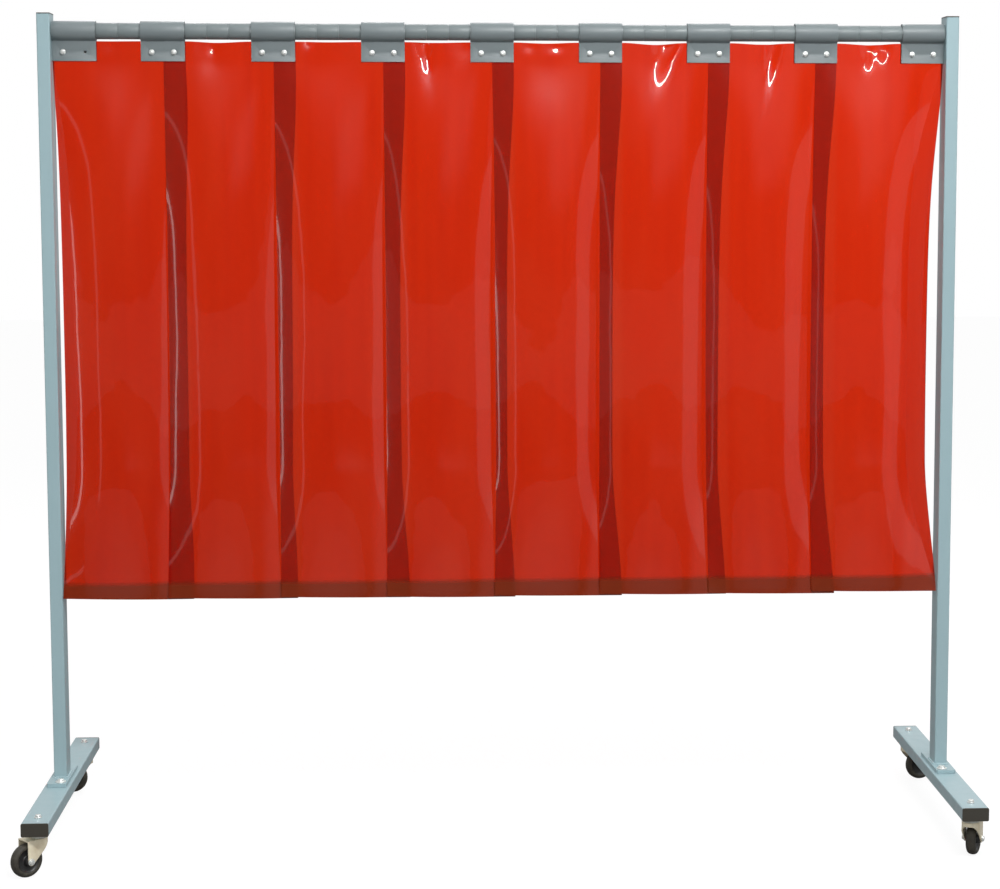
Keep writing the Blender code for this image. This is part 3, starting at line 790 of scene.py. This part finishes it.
def race_mesh():
    """The swivel's ball race: two pressed dishes with a groove between their rims."""
    low, high = FORK_TOP + GAP, FOOT_Z0 - GAP
    mid = (low + high) / 2
    profile = [
        (0.0045, high), (0.0195, high), (0.0212, high - 0.0006), (0.0215, high - 0.0018),
        (0.0213, mid + 0.0005), (0.0196, mid + 0.0002), (0.0196, mid - 0.0002),
        (0.0205, mid - 0.0006), (0.0207, low + 0.0012), (0.0198, low), (0.0045, low),
    ]
    return smooth(turned("race", profile, 56), 30)


def fork_mesh():
    """Pressed fork about the swivel axis, its wheel trailing along +X."""
    low, end = 0.020, TRAIL + 0.0068

    def plan(radius, length, steps=32):
        points = [(length, radius)]
        points += arc(radius, math.pi / 2, 1.5 * math.pi, steps)
        return points + [(length, -radius)]

    outer = prism("outer", [plan(FORK_R, end)], FORK_TOP - low, move(0, 0, (FORK_TOP + low) / 2))
    outer = softened(outer, 0.0022, 4, 60)
    inner_top = FORK_TOP - FORK_T
    inner = prism(
        "inner", [plan(FORK_R - FORK_T, end + 0.01)], inner_top - low + 0.01,
        move(0, 0, (inner_top + low - 0.01) / 2),
    )
    side = [(-0.03, FORK_TOP + 0.01), (-0.03, 0.0745), (-0.0180, 0.0745), (-0.0140, 0.0725), (-0.005, 0.0620)]
    side += [
        (
            TRAIL + 0.0090 * math.cos(math.radians(a)) * (0.75 if a > 270 else 1.0),
            AXLE_Z + 0.0090 * math.sin(math.radians(a)),
        )
        for a in range(208, 361, 12)
    ]
    side += [(end, FORK_TOP + 0.01)]
    keep = prism("keep", [side], 0.06, ALONG_Y)
    hole = rod("hole", 0.0045, 0.07, 0.10, 24)
    body = combined("fork", outer, ("DIFFERENCE", inner), ("INTERSECT", keep), ("DIFFERENCE", hole))
    return softened(body, 0.0004, 2, 40)


def axle_mesh():
    """The axle bolt: a hexagon head on one side, a nut and its thread end on the other."""
    bolt = rod("axle", 0.0040, -0.0262, 0.0200, 28)
    steps = [
        ("UNION", hex_head(0.0072, 0.0040, 0.0200, 0.2)),
        ("UNION", rod("washer", 0.0078, -0.0212, -0.0200, 36)),
        ("UNION", moved(hex_head(0.0072, 0.0040, 0.0210, 0.5), Matrix.Rotation(math.pi, 4, "X"))),
    ]
    mesh = softened(combined("axle", bolt, *steps), 0.0002, 2, 30)
    return moved(mesh, Z_TO_Y, move(TRAIL, 0, AXLE_Z))


def wheel_meshes():
    """A moulded centre with its hub, and the tyre on it: both about Z."""
    tyre = [(0.0255, 0.0088), (0.0268, 0.0108), (0.0290, 0.0115)]
    tyre += [(0.0290 + 0.0085 * math.sin(a), 0.0115 * math.cos(a) ** 0.8) for a in (0.35, 0.6, 0.85, 1.05, 1.22, 1.38)]
    tyre += [(0.0375, 0.0010)]
    tyre += [(r, -z) for r, z in reversed(tyre)]
    centre = [
        (0.0043, 0.0170), (0.0092, 0.0170), (0.0102, 0.0162), (0.0118, 0.0078),
        (0.0135, 0.0066), (0.0215, 0.0066), (0.0235, 0.0076), (0.0256, 0.0096), (0.0262, 0.0088),
    ]
    centre += [(r, -z) for r, z in reversed(centre)]
    return smooth(turned("tyre", tyre, 72), 50), smooth(turned("centre", centre, 56), 34)


stem, race, fork, axle = stem_mesh(), race_mesh(), fork_mesh(), axle_mesh()
tyre, centre = wheel_meshes()
HUB = moulded("wheel_centre_plastic", (0.024, 0.024, 0.024), 0.42, 1200.0, 0.0001, 0.2)
for name, (side, end, degrees) in CASTERS.items():
    at = move(side * POST_X, end * CASTER_Y, 0)
    turn = at @ Matrix.Rotation(math.radians(degrees), 4, "Z")
    roll = turn @ move(TRAIL, 0, AXLE_Z) @ Z_TO_Y
    piece(f"{name}_stem_bolt", stem, ZINC, "frame", at, (f"{name}_caster_stem",))
    piece(f"{name}_swivel_race", race, RACE, "frame", at)
    piece(f"{name}_fork_pressing", fork, FORK, f"fork_{name}", turn, (f"{name}_caster_fork",))
    piece(f"{name}_axle_bolt", axle, ZINC, f"fork_{name}", turn)
    piece(f"{name}_tyre", tyre, RUBBER, f"wheel_{name}", roll, (f"{name}_caster_wheel",))
    piece(f"{name}_wheel_centre", centre, HUB, f"wheel_{name}", roll)


# ---------------------------------------------------------------- floor and light
def floor():
    """A plain pale studio floor, which bounces less light than it shows."""
    bm = bmesh.new()
    bmesh.ops.create_grid(bm, x_segments=2, y_segments=2, size=20.0)
    mesh = bpy.data.meshes.new("floor")
    bm.to_mesh(mesh)
    bm.free()
    obj = link(bpy.data.objects.new("floor", mesh))
    mat = bpy.data.materials.new("floor_pale")
    mat.use_nodes = True
    tree = mat.node_tree
    tree.nodes.clear()
    new, join = tree.nodes.new, tree.links.new
    path = new("ShaderNodeLightPath")
    tint = new("ShaderNodeMix")
    tint.data_type = "RGBA"
    join(path.outputs["Is Camera Ray"], tint.inputs[0])
    tint.inputs[6].default_value = (0.26, 0.26, 0.26, 1)
    tint.inputs[7].default_value = (0.97, 0.97, 0.97, 1)
    diffuse, glow = new("ShaderNodeBsdfDiffuse"), new("ShaderNodeEmission")
    join(tint.outputs[2], diffuse.inputs["Color"])
    glow.inputs["Strength"].default_value = 1.04
    share = new("ShaderNodeMath")
    share.operation = "MULTIPLY"
    share.inputs[1].default_value = 0.86
    join(path.outputs["Is Camera Ray"], share.inputs[0])
    blend, out = new("ShaderNodeMixShader"), new("ShaderNodeOutputMaterial")
    join(share.outputs[0], blend.inputs[0])
    join(diffuse.outputs[0], blend.inputs[1])
    join(glow.outputs[0], blend.inputs[2])
    # Light that comes through the curtain is the backdrop's, which goes on below the horizon.
    clear, through = new("ShaderNodeBsdfTransparent"), new("ShaderNodeMixShader")
    join(path.outputs["Is Transmission Ray"], through.inputs[0])
    join(blend.outputs[0], through.inputs[1])
    join(clear.outputs[0], through.inputs[2])
    join(through.outputs[0], out.inputs["Surface"])
    mesh.materials.append(mat)


def studio_world():
    """A white room: a graded backdrop behind clear plastic, and dim walls to reflections."""
    world = bpy.data.worlds.new("studio")
    scene.world = world
    world.use_nodes = True
    tree = world.node_tree
    new, join = tree.nodes.new, tree.links.new
    path, coords, split = new("ShaderNodeLightPath"), new("ShaderNodeTexCoord"), new("ShaderNodeSeparateXYZ")
    join(coords.outputs["Generated"], split.inputs[0])

    def graded(value, low, high, to_low, to_high, kind="LINEAR"):
        node = new("ShaderNodeMapRange")
        node.interpolation_type = kind
        join(value, node.inputs["Value"])
        for key, number in zip(("From Min", "From Max", "To Min", "To Max"), (low, high, to_low, to_high)):
            node.inputs[key].default_value = number
        return node.outputs[0]

    def maths(operation, a, b):
        node = new("ShaderNodeMath")
        node.operation = operation
        for socket, value in zip(node.inputs, (a, b)):
            if isinstance(value, bpy.types.NodeSocket):
                join(value, socket)
            else:
                socket.default_value = value
        return node.outputs[0]

    def choose(factor, a, b):
        node = new("ShaderNodeMix")
        join(factor, node.inputs[0])
        for socket, value in zip((node.inputs[2], node.inputs[3]), (a, b)):
            if isinstance(value, bpy.types.NodeSocket):
                join(value, socket)
            else:
                socket.default_value = value
        return node.outputs[0]

    x, y, z = (split.outputs[axis] for axis in "XYZ")
    backdrop = maths("MULTIPLY", graded(z, -0.17, 0.06, 0.665, 1.05), graded(x, -0.15, 0.21, 1.12, 1.48))
    lit_wall = maths(
        "MULTIPLY",
        graded(z, 0.0, 0.06, 0.0, 0.24, "SMOOTHSTEP"),
        graded(x, 0.0, 0.18, 0.0, 1.0, "SMOOTHSTEP"),
    )
    ceiling = graded(z, 0.30, 0.65, 0.035, 1.0, "SMOOTHSTEP")
    behind = graded(y, 0.20, 0.60, 0.0, 0.40, "SMOOTHSTEP")
    gloss = maths("ADD", maths("ADD", lit_wall, ceiling), behind)
    soft = graded(z, 0.0, 1.0, 0.205, 0.85)
    level = choose(path.outputs["Is Glossy Ray"], soft, gloss)
    level = choose(path.outputs["Is Transmission Ray"], level, backdrop)
    level = choose(path.outputs["Is Camera Ray"], level, 1.0)
    join(level, tree.nodes["Background"].inputs["Strength"])
    tree.nodes["Background"].inputs["Color"].default_value = (1, 1, 1, 1)


def panel(name, at, towards, size, watts, colour=(1, 1, 1), glossy=True):
    light = bpy.data.lights.new(name, "AREA")
    light.shape = "RECTANGLE"
    light.size, light.size_y = size
    light.energy = watts
    light.color = colour
    obj = link(bpy.data.objects.new(name, light))
    obj.location = at
    obj.rotation_euler = (Vector(towards) - Vector(at)).to_track_quat("-Z", "Y").to_euler()
    obj.visible_camera = False
    obj.visible_transmission = False
    obj.visible_glossy = glossy


floor()
studio_world()
panel("key_overhead", (1.2, -3.2, 4.2), (0.0, 0.0, 1.3), (2.6, 0.35), 150)
panel("ceiling_far", (1.3, -9.0, 3.9), (0.5, 0.0, 1.6), (6.6, 0.10), 150)
panel("right_wall", (4.35, -3.5, 1.7), (0.2, 0.0, 1.2), (1.7, 3.0), 6)
panel("left_tube", (-3.6, -2.3, 1.5), (-0.2, 0.0, 1.2), (0.14, 2.6), 3.4)
panel("left_tube_far", (-3.4, -5.2, 1.6), (-0.2, 0.0, 1.2), (0.22, 2.2), 0.9)
panel("left_wall", (-4.6, -2.6, 1.6), (0.6, 0.0, 1.1), (1.6, 2.4), 25, glossy=False)
panel("rear_soft", (0.0, 3.5, 4.5), (0.0, 0.0, 1.2), (3.0, 1.0), 60)

bpy.data.collections.remove(TOOLS)
